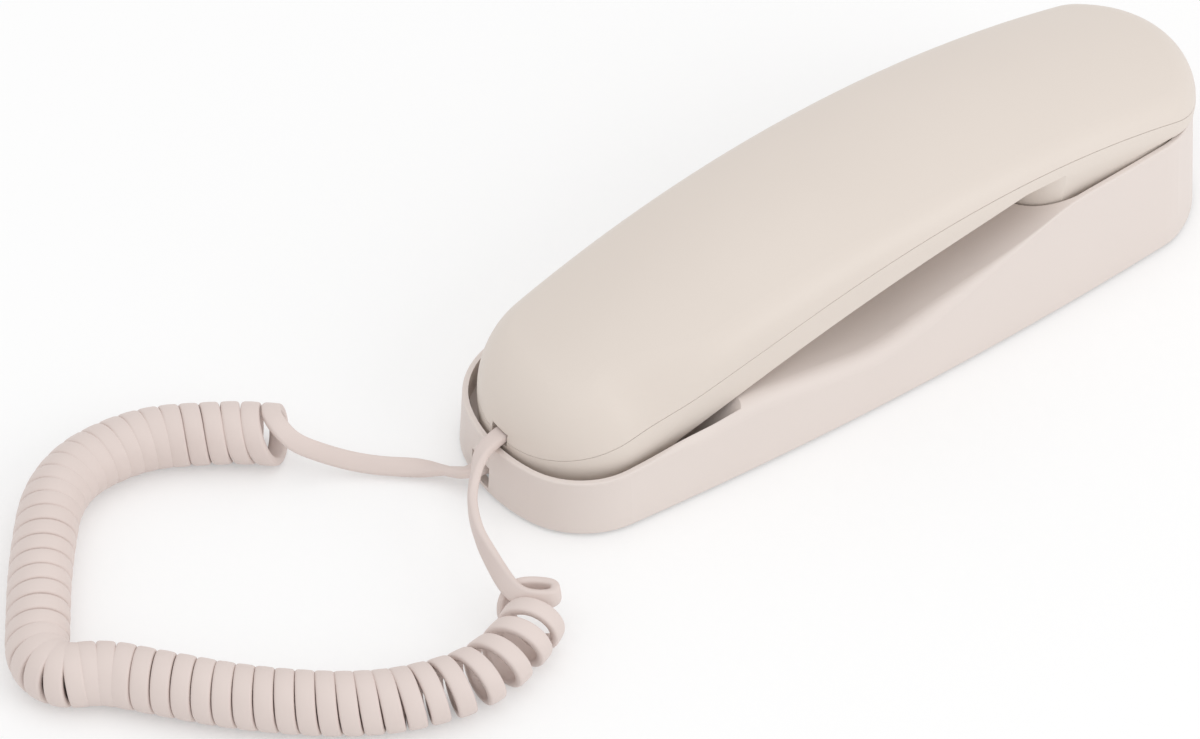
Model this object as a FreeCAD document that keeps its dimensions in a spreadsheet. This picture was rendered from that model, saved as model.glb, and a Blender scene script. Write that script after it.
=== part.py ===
"""Compact bedroom telephone: an arched handset with the keys in its inner face, lying on a boat-shaped base.

Millimetres, +Z up, +X towards the earpiece end, origin on the table under the middle of the base.
"""
import FreeCAD, Part
import math
import os
import re
import Sketcher
from FreeCAD import Vector

# Driving dimensions. Lengths in millimetres, angles in degrees.
SIZES = {
    # Base shell in plan, at its foot; each nose radius is given over half the width
    "base_length": 205.0, "base_width": 63.0, "base_bow": 5.2,
    "base_front_corner": 22.2, "base_front_nose_over": 10.0,
    "base_rear_corner": 16.0, "base_rear_nose_over": -2.1,
    "base_draft": 3.0, "base_wall": 2.0, "foot_proud": 1.0,
    # Base shell from the side: heights of the rim, and where it turns, measured in from the nearer end
    "rim_front": 15.4, "rim_tray": 16.9, "rim_crest": 21.8, "rim_dip": 17.6,
    "rim_step": 32.6, "rim_rear": 31.6,
    "tray_turn": 22.5, "crest_in": 57.5, "dip_back": 9.0, "step_in": 54.5,
    "tray_bend": 150.0, "crest_bend": 60.0, "dip_bend": 40.0, "step_bend": 40.0,
    "rim_width": 1.4, "rim_round": 0.5, "saddle_round": 4.0, "saddle_roof": 3.0,
    # Tray for the mouth end and pocket for the ear end, measured in from the nearer end
    "tray_floor": 8.5, "tray_end": 54.5, "tray_slope": 13.0,
    "tray_foot_round": 6.0, "tray_edge_round": 3.0,
    "pocket_floor": 20.9, "pocket_gap": 0.7,
    # Handset in plan at its highest parting point, and how much shorter it is than the base
    "handset_short": 2.9, "handset_shift": 0.8, "handset_width": 53.0, "handset_bow": 1.6,
    "handset_front_corner": 24.0, "handset_front_nose_over": 9.0,
    "handset_rear_corner": 14.0, "handset_rear_nose_over": 1.9,
    "handset_draft": 2.0, "handset_wall": 2.0, "rim_clearance": 0.7,
    # Handset from the side: arch and straight run of the parting line, and a crown that falls to the nose
    "parting_ahead": 28.0, "parting_top": 43.3, "parting_arch": 233.0, "parting_turn": 30.0,
    "parting_gap": 0.15,
    "crown_ahead": 17.4, "crown_top": 52.2, "crown_fall": 23.6, "crown_round": 60.0,
    "shoulder_start": 52.0, "shoulder_front": 18.0, "shoulder_round": 9.0,
    # Underside of the handset: mouth cup, keypad arch and ear cup, measured in from the ends of the base
    "rest_gap": 0.3, "mouth_cup_end": 33.0, "mouth_cup_rise": 2.5,
    "grip_front": 16.3, "grip_front_round": 5.0,
    "grip_bend_back": 15.0, "grip_bend": 32.2, "grip_arch": 430.0,
    "grip_end": 66.5, "grip_rear": 40.2, "grip_rear_round": 12.0,
    "ear_rear": 36.5, "ear_cup_start": 64.5, "ear_cup_corner": 14.0, "cup_round": 2.0,
    # Keys
    "key_length": 7.0, "key_width": 9.6, "key_round": 1.2,
    "key_pitch_along": 11.0, "key_pitch_across": 14.0,
    "key_proud": 2.0, "key_travel": 1.3, "key_flange": 0.8, "key_lip": 0.8, "key_clearance": 0.25,
    "key_seat_gap": 0.1, "function_key_length": 4.6,
    "mat_length": 54.0, "mat_width": 38.0, "mat_thickness": 1.0,
    "key_stop_gap": 0.15, "key_edge": 0.6,
    "keypad_pcb_length": 64.0, "keypad_pcb_width": 38.0, "pcb_thickness": 1.6,
    "post_radius": 1.8, "post_inset": 2.6,
    # Receiver and microphone, measured in from the nearer end of the base
    "receiver_in": 22.5, "receiver_radius": 15.5, "receiver_height": 8.8, "gasket_thickness": 1.0,
    "receiver_ring": 1.4, "receiver_gap": 0.2, "receiver_ring_height": 5.0,
    "ear_hole_radius": 1.1, "ear_hole_circle": 4.6,
    "microphone_in": 25.5, "microphone_radius": 3.0, "microphone_height": 5.0,
    "boot_wall": 0.9, "boot_floor": 0.7, "mouth_hole_radius": 0.6,
    # Modular plugs and jacks of the coiled cord
    "plug_length": 11.6, "plug_width": 7.6, "plug_height": 5.6, "latch_height": 0.6, "latch_width": 3.2,
    "plug_clearance": 0.15, "jack_wall": 1.1, "jack_length": 12.2, "jack_gap": 0.3,
    "base_jack_side": 4.0, "base_jack_floor": 1.5, "base_plug_recess": 1.2, "base_jack_set": 1.6,
    "handset_jack_set": 2.2,
    "hump_wall": 1.5, "hump_gap": 0.2, "notch_gap": 0.6, "notch_wall": 1.5,
    "slot_width": 6.0, "slot_height": 3.6, "cord_out_height": 18.4, "handset_plug_recess": 2.8,
    # Line jack at the rear of the base
    "line_jack_length": 13.0, "line_jack_width": 13.4, "line_jack_height": 11.0,
    "line_socket_width": 9.8, "line_socket_height": 7.0, "line_socket_depth": 11.0, "line_mouth_gap": 0.3,
    # Inside of the base, measured in from the nearer end; the ringer is measured from the middle
    "cover_thickness": 2.0, "cover_gap": 0.25, "pcb_lift": 1.4,
    "base_pcb_front": 68.5, "base_pcb_rear": 6.0, "base_pcb_width": 25.0,
    "hook_in": 35.5, "hook_radius": 3.3, "hook_bore_gap": 0.35, "hook_travel": 3.0, "hook_cap_gap": 0.1,
    "hook_flange_radius": 5.8, "hook_flange": 1.2, "hook_pin_radius": 1.5,
    "spring_radius": 4.9, "spring_wire": 0.7, "spring_turns": 5.0,
    "switch_side": 6.0, "switch_height": 2.4,
    "ringer_ahead": 10.0, "ringer_radius": 12.0, "ringer_height": 6.0,
    "sound_slot_length": 16.0, "sound_slot_width": 1.6, "sound_slot_pitch": 3.6,
    # Feet and screws, measured in from the nearer end of the base
    "foot_radius": 5.0, "foot_depth": 0.8, "foot_in": 22.5, "foot_across": 17.0,
    "screw_head_radius": 2.6, "screw_head": 1.8, "screw_radius": 1.25, "screw_gap": 0.1,
    "base_screw_length": 8.0, "handset_screw_length": 11.0, "screw_sink": 0.8,
    "boss_radius": 3.4, "boss_gap": 0.1, "screw_cup_radius": 4.2, "screw_cup_height": 4.0,
    "base_screw_front": 66.5, "base_screw_rear": 32.5, "base_screw_across": 19.0,
    "handset_screw_front": 24.5, "handset_screw_front_across": 15.5,
    "handset_screw_rear": 36.5, "handset_screw_rear_across": 17.0,
    "handset_pillar": 9.0, "pillar_radius": 3.6, "handset_screw_sink": 2.2,
    # Leads and the coiled cord
    "lead_radius": 0.5, "lead_pitch": 1.6,
    "cord_diameter": 3.0, "coil_radius": 6.0, "coil_turns": 41.5, "coil_gap": 0.8, "coil_lead": 16.0,
    "cord_lift": 0.2,
}

PARTS = []


def make_sheet(doc):
    """Spreadsheet that holds every driving dimension under its own name."""
    table = doc.addObject("Spreadsheet::Sheet", "sizes")
    for row, (name, value) in enumerate(SIZES.items(), start=1):
        table.set("A%d" % row, name)
        table.set("B%d" % row, str(value))
        table.setAlias("B%d" % row, name)
    doc.recompute()
    return table


doc = FreeCAD.newDocument("telephone")
sheet = make_sheet(doc)


def size(name):
    return float(sheet.get(name))


def in_sheet(formula):
    """The formula with each of the sheet's names pointing into the sheet."""
    return re.sub(r"\b([a-z]+(?:_[a-z]+)+)\b", r"sizes.\1", str(formula))


def bind(obj, path, formula):
    """Tie a property to a formula written in the sheet's own names."""
    obj.setExpression(path, in_sheet(formula))


def value(formula):
    """The number that a formula stands for now."""
    return float(sheet.evalExpression(in_sheet(formula)))


def front_place(name):
    """Formula of a place measured in from the front end of the base."""
    return "(%s - base_length / 2)" % name


def rear_place(name):
    """Formula of a place measured in from the rear end of the base."""
    return "(base_length / 2 - %s)" % name


def from_front(name):
    return value(front_place(name))


def from_rear(name):
    return value(rear_place(name))


def place(obj, x, y, z):
    """Place an object by formulas."""
    for axis, formula in zip("xyz", (x, y, z)):
        bind(obj, "Placement.Base." + axis, formula)


def hand_in(obj):
    """Mark a finished sub-part; its label names its file."""
    PARTS.append(obj)
    return obj


def feature(name, shape):
    """A sub-part whose form comes from Part's own functions."""
    obj = doc.addObject("Part::Feature", name)
    obj.Label = name
    obj.Shape = shape
    obj.Placement = FreeCAD.Placement()
    return hand_in(obj)


# Shared shapes


def plan_outline(kind, inset, height):
    """Closed plan outline of tangent arcs: two bowed sides, four corners and two noses."""
    half = (size("base_length") - (size("handset_short") if kind == "handset" else 0.0)) / 2
    bow = size(kind + "_bow")
    side_radius = (half * half + bow * bow) / (2 * bow)
    side_centre = Vector(0, size(kind + "_width") / 2 - side_radius, 0)
    shift = Vector(size("handset_shift") if kind == "handset" else 0, 0, height)

    def end_arcs(end, sign):
        corner = size("%s_%s_corner" % (kind, end))
        nose = size(kind + "_width") / 2 + size("%s_%s_nose_over" % (kind, end))
        nose_centre = Vector(sign * (half - nose), 0, 0)
        between = side_centre - nose_centre
        gap = between.Length
        along = ((nose - corner) ** 2 - (side_radius - corner) ** 2 + gap ** 2) / (2 * gap)
        across = math.sqrt((nose - corner) ** 2 - along ** 2)
        unit = between / gap
        normal = Vector(-unit.y, unit.x, 0)
        first = nose_centre + unit * along + normal * across
        second = nose_centre + unit * along - normal * across
        corner_centre = first if sign * first.x > sign * second.x else second
        return nose_centre, nose, corner_centre, corner

    def toward(centre, target, radius):
        return centre + (target - centre).normalize() * radius

    def arc_mid(centre, radius, start, end):
        return toward(centre, (start + end) / 2, radius)

    def mirror(point):
        return Vector(point.x, -point.y, point.z)

    front_nose_centre, front_nose, front_corner_centre, front_corner = end_arcs("front", -1)
    rear_nose_centre, rear_nose, rear_corner_centre, rear_corner = end_arcs("rear", 1)
    rear_tip = toward(rear_nose_centre, rear_corner_centre, 1) - rear_nose_centre
    rear_on_nose = rear_nose_centre + rear_tip * (rear_nose - inset)
    rear_on_side = toward(side_centre, rear_corner_centre, side_radius - inset)
    front_on_side = toward(side_centre, front_corner_centre, side_radius - inset)
    front_tip = toward(front_nose_centre, front_corner_centre, 1) - front_nose_centre
    front_on_nose = front_nose_centre + front_tip * (front_nose - inset)
    rear_mid = arc_mid(rear_corner_centre, rear_corner - inset, rear_on_nose, rear_on_side)
    side_mid = side_centre + Vector(0, side_radius - inset, 0)
    front_mid = arc_mid(front_corner_centre, front_corner - inset, front_on_side, front_on_nose)
    far = [(rear_on_nose, rear_mid, rear_on_side), (rear_on_side, side_mid, front_on_side)]
    if kind == "handset":
        turn = toward(side_centre, Vector(from_front("shoulder_start"), 0, 0), side_radius - inset)
        rear_half = arc_mid(side_centre, side_radius - inset, rear_on_side, turn)
        front_half = arc_mid(side_centre, side_radius - inset, turn, front_on_side)
        far = [far[0], (rear_on_side, rear_half, turn), (turn, front_half, front_on_side)]
    far.append((front_on_side, front_mid, front_on_nose))
    front_end = Vector(-half + inset, 0, 0)
    rear_end = Vector(half - inset, 0, 0)
    near = [tuple(mirror(point) for point in reversed(arc)) for arc in reversed(far)]
    arcs = far + [(front_on_nose, front_end, mirror(front_on_nose))]
    arcs += near + [(mirror(rear_on_nose), rear_end, rear_on_nose)]
    edges = [Part.Arc(*[point + shift for point in arc]).toShape() for arc in arcs]
    return Part.Wire(edges)


def hull(kind, inset, bottom, top):
    """Drafted prism of the plan outline; the inset is the wall taken off all round."""
    slope = math.tan(math.radians(size(kind + "_draft")))
    if kind == "base":
        spread = [(z - size("foot_proud")) * slope for z in (bottom, top)]
    else:
        spread = [(size("parting_top") - z) * slope for z in (bottom, top)]
    wires = [plan_outline(kind, inset + taper, z) for taper, z in zip(spread, (bottom, top))]
    return Part.makeLoft(wires, True, True)


def rounded_chain(points, radii):
    """Edges along the points, each inner corner rounded by a tangent arc of its own radius."""
    edges = []
    start = points[0]
    for before, corner, after, radius in zip(points, points[1:], points[2:], radii):
        back = (before - corner).normalize()
        ahead = (after - corner).normalize()
        half_angle = back.getAngle(ahead) / 2
        reach = radius / math.tan(half_angle)
        middle = (back + ahead).normalize()
        first = corner + back * reach
        last = corner + ahead * reach
        peak = corner + middle * (radius / math.sin(half_angle) - radius)
        edges.append(Part.LineSegment(start, first).toShape())
        edges.append(Part.Arc(first, peak, last).toShape())
        start = last
    edges.append(Part.LineSegment(start, points[-1]).toShape())
    return edges


def offset_chain(points, radii, gap):
    """The same chain moved sideways (up, for a chain that runs towards +X), corners kept parallel."""
    lines = []
    for first, last in zip(points, points[1:]):
        along = (last - first).normalize()
        lines.append((first + Vector(-along.z, 0, along.x) * gap, along))
    moved = [lines[0][0]]
    moved_radii = []
    for (start, along), (other, ahead), radius in zip(lines, lines[1:], radii):
        cross = along.x * ahead.z - along.z * ahead.x
        step = ((other.x - start.x) * ahead.z - (other.z - start.z) * ahead.x) / cross
        moved.append(start + along * step)
        moved_radii.append(max(radius - gap if cross > 0 else radius + gap, 0.2))
    last_start, last_along = lines[-1]
    moved.append(last_start + last_along * (points[-1] - points[-2]).Length)
    return moved, moved_radii


def side_prism(points, radii, limit):
    """Solid across the whole width, between a chain seen from the side and the level given by limit."""
    chain = rounded_chain(points, radii)
    first = Vector(points[0].x, 0, limit)
    last = Vector(points[-1].x, 0, limit)
    close = [
        Part.LineSegment(points[-1], last).toShape(),
        Part.LineSegment(last, first).toShape(),
        Part.LineSegment(first, points[0]).toShape(),
    ]
    face = Part.Face(Part.Wire(chain + close))
    depth = size("base_width") * 2
    face.translate(Vector(0, -depth / 2, 0))
    return face.extrude(Vector(0, depth, 0))


def block(x_from, x_to, y_from, y_to, z_from, z_to):
    return Part.makeBox(x_to - x_from, y_to - y_from, z_to - z_from, Vector(x_from, y_from, z_from))


def rod(radius, bottom, top, x, y):
    return Part.makeCylinder(radius, top - bottom, Vector(x, y, bottom))


REACH = size("base_length") * 0.6
SKY = size("crown_top") * 1.5


# Heights and places that several pieces share


COVER_TOP = "(foot_proud + cover_thickness)"
PCB_BOTTOM = "(foot_proud + cover_thickness + pcb_lift)"
PCB_TOP = "(foot_proud + cover_thickness + pcb_lift + pcb_thickness)"
PLUG_ROOM_WIDTH = "(plug_width + 2 * plug_clearance)"
PLUG_ROOM_HEIGHT = "(plug_height + latch_height + 2 * plug_clearance)"
JACK_WIDTH = "(plug_width + 2 * plug_clearance + 2 * jack_wall)"
JACK_HEIGHT = "(plug_height + latch_height + 2 * plug_clearance + jack_wall)"
MOUTH_CUP_FLOOR = "(tray_floor + rest_gap)"
EAR_CUP_FLOOR = "(pocket_floor + rest_gap)"
BASE_JACK_FRONT = "(base_wall + base_jack_set - base_length / 2)"
HANDSET_END = "(handset_shift - (base_length - handset_short) / 2)"
HANDSET_NOSE = "(%s + (parting_top - cord_out_height) * tan(handset_draft))" % HANDSET_END
CROWN_REACH = "(crown_ahead - %s)" % HANDSET_END
CROWN_ARCH = "(%s * %s / crown_fall + crown_fall) / 2" % (CROWN_REACH, CROWN_REACH)
HANDSET_JACK_FRONT = "(%s + handset_wall + handset_jack_set)" % HANDSET_NOSE
HANDSET_JACK_FLOOR = "(cord_out_height - plug_clearance - jack_wall / 2 - latch_height - plug_height / 2)"
KEY_SEAT = "(handset_wall + key_seat_gap)"
MAT_SEAT = "(handset_wall + key_seat_gap + key_flange + key_travel + key_stop_gap)"
HOOK_TOP = "(pocket_floor + rest_gap - hook_cap_gap)"
HOOK_FLANGE_TOP = "(pocket_floor - base_wall - hook_travel - hook_cap_gap)"

cover_top = value(COVER_TOP)
pcb_top = value(PCB_TOP)
plug_room_width = value(PLUG_ROOM_WIDTH)
plug_room_height = value(PLUG_ROOM_HEIGHT)
jack_width = value(JACK_WIDTH)
mouth_cup_floor = value(MOUTH_CUP_FLOOR)
ear_cup_floor = value(EAR_CUP_FLOOR)
base_jack_front = value(BASE_JACK_FRONT)
base_jack_rear = base_jack_front + size("jack_length")
base_jack_top = size("base_jack_floor") + value(JACK_HEIGHT)
handset_jack_front = value(HANDSET_JACK_FRONT)
hump_top = base_jack_top + size("hump_gap") + size("hump_wall")
notch_top = hump_top + size("notch_gap")
notch_rear = base_jack_rear + size("hump_gap") + size("hump_wall") + size("notch_gap")


def rim_chain():
    points = [
        Vector(-REACH, 0, size("rim_front")),
        Vector(from_front("tray_turn"), 0, size("rim_tray")),
        Vector(from_front("crest_in"), 0, size("rim_crest")),
        Vector(-size("dip_back"), 0, size("rim_dip")),
        Vector(from_rear("step_in"), 0, size("rim_step")),
        Vector(REACH, 0, size("rim_rear")),
    ]
    radii = [size("tray_bend"), size("crest_bend"), size("dip_bend"), size("step_bend")]
    return points, radii


def underside_chain():
    points = [
        Vector(-REACH, 0, mouth_cup_floor),
        Vector(from_front("mouth_cup_end"), 0, mouth_cup_floor),
        Vector(from_front("mouth_cup_end") + size("mouth_cup_rise"), 0, size("grip_front")),
        Vector(-size("grip_bend_back"), 0, size("grip_bend")),
        Vector(from_rear("grip_end"), 0, size("grip_rear")),
        Vector(REACH, 0, size("ear_rear")),
    ]
    radii = [size("cup_round"), size("grip_front_round"), size("grip_arch"), size("grip_rear_round")]
    return points, radii


def keypad_frame():
    """Middle of the keypad on the outer face of the grip, and the tilt of the grip there."""
    points, radii = underside_chain()
    before, corner, after = points[2:5]
    back = (before - corner).normalize()
    ahead = (after - corner).normalize()
    half_angle = back.getAngle(ahead) / 2
    middle = (back + ahead).normalize()
    origin = corner + middle * (size("grip_arch") / math.sin(half_angle) - size("grip_arch"))
    along = (ahead - back).normalize()
    turn = FreeCAD.Rotation(Vector(0, 1, 0), -math.degrees(math.atan2(along.z, along.x)))
    return FreeCAD.Placement(origin, turn)


KEYPAD = keypad_frame()


# Base shell


def cover_screw_places():
    across = size("base_screw_across")
    places = [(from_front("base_screw_front"), across), (from_rear("base_screw_rear"), across)]
    return [(x, sign * y) for x, y in places for sign in (1, -1)]


def tray_hollow(margin):
    """Space of the front tray; the margin grows it into the tray's own shell."""
    end = from_front("tray_end")
    points = [
        Vector(-REACH, 0, size("tray_floor") - margin),
        Vector(end - size("tray_slope") + margin / 2, 0, size("tray_floor") - margin),
        Vector(end + margin, 0, size("rim_crest")),
        Vector(end + margin + 1.0, 0, SKY * 0.9),
    ]
    side = side_prism(points, [size("tray_foot_round"), size("tray_edge_round")], SKY)
    inset = size("rim_width") - margin
    return hull("base", inset, 0.0, SKY).common(side)


def cup_column(growth, floor):
    """Upright column of the ear cup with rounded front corners, grown on all sides but the rear."""
    front = from_rear("ear_cup_start") - growth
    half = size("handset_width") / 2 + growth
    column = block(front, REACH, -half, half, floor, SKY)
    ahead = [edge for edge in column.Edges if edge.BoundBox.XMax < front + 1e-6]
    corners = [edge for edge in ahead if edge.BoundBox.ZLength > 1.0]
    return column.makeFillet(size("ear_cup_corner") + growth, corners)


def pocket_hollow(margin):
    """Space of the rear pocket for the ear cup."""
    column = cup_column(size("pocket_gap") + margin, size("pocket_floor") - margin)
    return hull("base", size("rim_width") - margin, 0.0, SKY).common(column)


def jack_hump(margin):
    """Raised roof over the handset jack in the nose of the base."""
    half = jack_width / 2 + size("hump_gap") + margin
    side = size("base_jack_side")
    rear = base_jack_rear + size("hump_gap") + margin
    top = base_jack_top + size("hump_gap") + margin
    return block(-REACH, rear, side - half, side + half, 0.0, top)


def rounded(shape, low, radius_at):
    """The shape with every edge above a level rounded, by a radius that may change along the edge."""
    plain = doc.addObject("Part::Feature", "plain_block")
    plain.Shape = shape
    result = doc.addObject("Part::Fillet", "rounded_block")
    result.Base = plain
    wanted = []
    for index, edge in enumerate(shape.Edges, start=1):
        if edge.BoundBox.ZMin > low:
            ends = [edge.valueAt(parameter).x for parameter in (edge.FirstParameter, edge.LastParameter)]
            wanted.append((index, radius_at(ends[0]), radius_at(ends[1])))
    result.Edges = wanted
    doc.recompute()
    return result.Shape


def rounded_rim(block_shape):
    """The base block with its rim rounded: finely round the ends, broadly along the saddle between them."""
    points, radii = rim_chain()
    bends = [edge for edge in rounded_chain(points, radii) if edge.Curve.TypeId == "Part::GeomCircle"]
    saddle_front = bends[1].BoundBox.XMax - 0.1
    saddle_rear = bends[3].BoundBox.XMin - 0.1

    def radius_at(x):
        return size("saddle_round" if saddle_front < x < saddle_rear else "rim_round")

    return rounded(block_shape, size("tray_floor"), radius_at)


def base_housing():
    wall = size("base_wall")
    foot = size("foot_proud")
    points, radii = rim_chain()
    outer = rounded_rim(hull("base", 0.0, foot, SKY).common(side_prism(points, radii, -SKY)))
    low_points, low_radii = offset_chain(points, radii, -size("saddle_roof"))
    inner = hull("base", wall, -wall, SKY).common(side_prism(low_points, low_radii, -SKY))
    shells = tray_hollow(wall).fuse(pocket_hollow(wall)).fuse(jack_hump(size("hump_wall")))
    skirt = hull("base", wall, -wall, cover_top)
    inner = inner.cut(shells.cut(block(-REACH, REACH, -REACH, REACH, -wall, cover_top))).fuse(skirt)
    inner = inner.fuse(jack_hump(0.0).common(hull("base", wall, -wall, SKY)))
    tray = tray_hollow(0.0).cut(jack_hump(size("hump_wall")))
    shell = outer.cut(inner).cut(tray).cut(pocket_hollow(0.0))
    boss_foot = size("foot_proud") + size("screw_cup_height") + size("boss_gap")
    for x, y in cover_screw_places():
        boss = rod(size("boss_radius"), boss_foot, SKY, x, y).common(outer)
        shell = shell.fuse(boss.cut(tray).cut(pocket_hollow(0.0)))
    for x, y in cover_screw_places():
        pilot = size("screw_radius") + size("screw_gap") / 2
        shell = shell.cut(rod(pilot, 0.0, boss_foot + size("base_screw_length"), x, y))
    bore = size("hook_radius") + size("hook_bore_gap")
    shell = shell.cut(rod(bore, cover_top, SKY, from_rear("hook_in"), 0.0))
    plug_low = size("base_jack_floor") + size("jack_wall") / 2
    half = plug_room_width / 2
    side = size("base_jack_side")
    plug_high = plug_low + plug_room_height
    mouth = block(-REACH, base_jack_front + 1.0, side - half, side + half, plug_low, plug_high)
    shell = shell.cut(mouth)
    gate_half = 2 * size("lead_pitch") + size("lead_radius")
    gate_top = value(PCB_TOP) + size("lead_radius")
    gate_rear = base_jack_rear + size("hump_gap") + 2 * size("hump_wall")
    gate = block(base_jack_rear, gate_rear, side - gate_half, side + gate_half, cover_top, gate_top)
    shell = shell.cut(gate)
    gap = size("line_mouth_gap")
    line_half = size("line_socket_width") / 2 + gap
    line_low = pcb_top + (size("line_jack_height") - size("line_socket_height")) / 2 - gap
    line_top = line_low + size("line_socket_height") + 2 * gap
    line_mouth = block(from_rear("base_pcb_rear"), REACH, -line_half, line_half, line_low, line_top)
    shell = shell.cut(line_mouth)
    return feature("base_housing", shell.removeSplitter())


def base_bottom_cover():
    foot = size("foot_proud")
    plate = hull("base", size("base_wall") + size("cover_gap"), foot, cover_top)
    cup_top = foot + size("screw_cup_height")
    for x, y in cover_screw_places():
        plate = plate.fuse(rod(size("screw_cup_radius"), foot, cup_top, x, y))
    rear = from_rear("base_pcb_rear") - size("post_inset")
    front = from_front("base_pcb_front") + size("post_inset")
    across = size("base_pcb_width") / 2 - size("post_inset")
    for x in (front, rear):
        for y in (across, -across):
            plate = plate.fuse(rod(size("post_radius"), foot, value(PCB_BOTTOM), x, y))
    sink = foot + size("screw_head") + size("screw_sink")
    for x, y in cover_screw_places():
        plate = plate.cut(rod(size("screw_head_radius") + size("screw_gap"), 0.0, sink, x, y))
        plate = plate.cut(rod(size("screw_radius") + size("screw_gap"), 0.0, cup_top + 1.0, x, y))
    for x, y in foot_places():
        plate = plate.cut(rod(size("foot_radius") + size("screw_gap"), 0.0, foot + size("foot_depth"), x, y))
    half = jack_width / 2 + size("jack_gap")
    side = size("base_jack_side")
    plate = plate.cut(block(-REACH, base_jack_rear + size("jack_gap"), side - half, side + half, 0.0, SKY))
    slot_half = size("sound_slot_length") / 2
    for step in (-2, -1, 0, 1, 2):
        middle = size("ringer_ahead") + step * size("sound_slot_pitch")
        edge = size("sound_slot_width") / 2
        plate = plate.cut(block(middle - edge, middle + edge, -slot_half, slot_half, 0.0, cover_top + 0.5))
    return feature("base_bottom_cover", plate.removeSplitter())


def foot_places():
    along = from_rear("foot_in")
    across = size("foot_across")
    return [(x, y) for x in (-along, along) for y in (-across, across)]


# Handset shells


def crown_barrel(inset):
    """Arched solid under the crown: one arc across, carried along a larger arc."""
    arch = value(CROWN_ARCH)
    top = size("crown_top") - inset
    cross = size("crown_round") - inset
    half = size("handset_width") * 0.75
    edge = top - cross + math.sqrt(cross * cross - half * half)
    low = -size("crown_top")
    ahead = size("crown_ahead")
    sides = [(-half, edge), (half, edge), (half, low), (-half, low)]
    corners = [Vector(ahead, y, z) for y, z in sides]
    edges = [Part.Arc(corners[0], Vector(ahead, 0, top), corners[1]).toShape()]
    for first, last in ((1, 2), (2, 3), (3, 0)):
        edges.append(Part.LineSegment(corners[first], corners[last]).toShape())
    face = Part.Face(Part.Wire(edges))
    axis_foot = Vector(ahead, 0, size("crown_top") - arch)
    sweep = 40.0
    face.rotate(axis_foot, Vector(0, 1, 0), -sweep)
    return face.revolve(axis_foot, Vector(0, 1, 0), 2 * sweep)


def rim_room(margin):
    """Space that the rim of the base takes out of the handset, where the ear end reaches over it."""
    points, radii = offset_chain(*rim_chain(), size("rim_clearance") + margin)
    below = side_prism(points, radii, -SKY)
    return below.cut(hull("base", size("rim_width") + size("rim_clearance") + margin, -SKY / 2, SKY))


def handset_block(inset):
    """The handset as one rounded block, before it is hollowed and parted."""
    points, radii = underside_chain()
    points, radii = offset_chain(points, radii, inset)
    turn = from_front("shoulder_start") + size("handset_shift")

    def radius_at(x):
        return size("shoulder_front" if x < turn - size("handset_wall") else "shoulder_round") - inset

    solid = hull("handset", inset, 0.0, SKY).common(crown_barrel(inset))
    solid = rounded(solid, size("tray_floor"), radius_at)
    below = side_prism(points, radii, SKY).fuse(cup_column(-inset, ear_cup_floor + inset))
    return solid.common(below).cut(rim_room(inset))


def parting_side(drop, limit):
    """Everything on one side of the parting surface: an arch that runs on straight towards the front."""
    arch = size("parting_arch") - drop
    ahead = size("parting_ahead")
    centre = Vector(ahead, 0, size("parting_top") - size("parting_arch"))
    bend_angle = -math.asin((ahead + size("parting_turn")) / size("parting_arch"))
    rear_angle = math.asin(REACH / size("parting_arch"))

    def on_arch(angle):
        return centre + Vector(math.sin(angle), 0, math.cos(angle)) * arch

    bend = on_arch(bend_angle)
    rear = on_arch(rear_angle)
    front = bend - Vector(math.cos(bend_angle), 0, -math.sin(bend_angle)) * REACH
    edges = [Part.LineSegment(front, bend).toShape()]
    edges.append(Part.Arc(bend, on_arch((bend_angle + rear_angle) / 2), rear).toShape())
    chain = [rear, Vector(rear.x, 0, limit), Vector(front.x, 0, limit), front]
    edges += [Part.LineSegment(first, last).toShape() for first, last in zip(chain, chain[1:])]
    face = Part.Face(Part.Wire(edges))
    depth = size("base_width") * 2
    face.translate(Vector(0, -depth / 2, 0))
    return face.extrude(Vector(0, depth, 0))


def jack_notch(margin):
    """Space under the mouth end that clears the hump in the base's nose."""
    side = size("base_jack_side")
    half = jack_width / 2 + size("hump_gap") + size("hump_wall") + size("notch_gap") + margin
    return block(-REACH, notch_rear + margin, side - half, side + half, 0.0, notch_top + margin)


def cord_slot():
    half = size("slot_width") / 2
    low = size("cord_out_height") - size("slot_height") / 2
    return block(-REACH, handset_jack_front, -half, half, low, low + size("slot_height"))


def handset_screw_places():
    """Place and the level of the cup's underside for each screw."""
    front = (from_front("handset_screw_front"), size("handset_screw_front_across"), mouth_cup_floor)
    rear = (from_rear("handset_screw_rear"), size("handset_screw_rear_across"), ear_cup_floor)
    return [(x, sign * y, floor) for x, y, floor in (front, rear) for sign in (1, -1)]


def handset_back_shell(outer, inner):
    shell = outer.cut(inner).common(parting_side(0.0, SKY))
    for x, y, floor in handset_screw_places():
        foot = floor + size("handset_pillar") + size("boss_gap")
        boss = rod(size("boss_radius"), foot, SKY, x, y).common(outer)
        shell = shell.fuse(boss)
    for x, y, floor in handset_screw_places():
        foot = floor + size("handset_pillar")
        pilot = size("screw_radius") + size("screw_gap") / 2
        shell = shell.cut(rod(pilot, foot, foot + size("handset_screw_length"), x, y))
    shell = shell.cut(cord_slot())
    return feature("handset_back_shell", shell.removeSplitter())


def ear_holes():
    """A middle hole and two rings of holes in front of the receiver."""
    holes = []
    top = ear_cup_floor + size("handset_wall") + 0.5
    for ring, count in ((0, 1), (1, 6), (2, 12)):
        for step in range(count):
            angle = 2 * math.pi * step / count
            reach = ring * size("ear_hole_circle")
            x = from_rear("receiver_in") + reach * math.cos(angle)
            y = reach * math.sin(angle)
            holes.append(rod(size("ear_hole_radius"), 0.0, top, x, y))
    return holes


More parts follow.
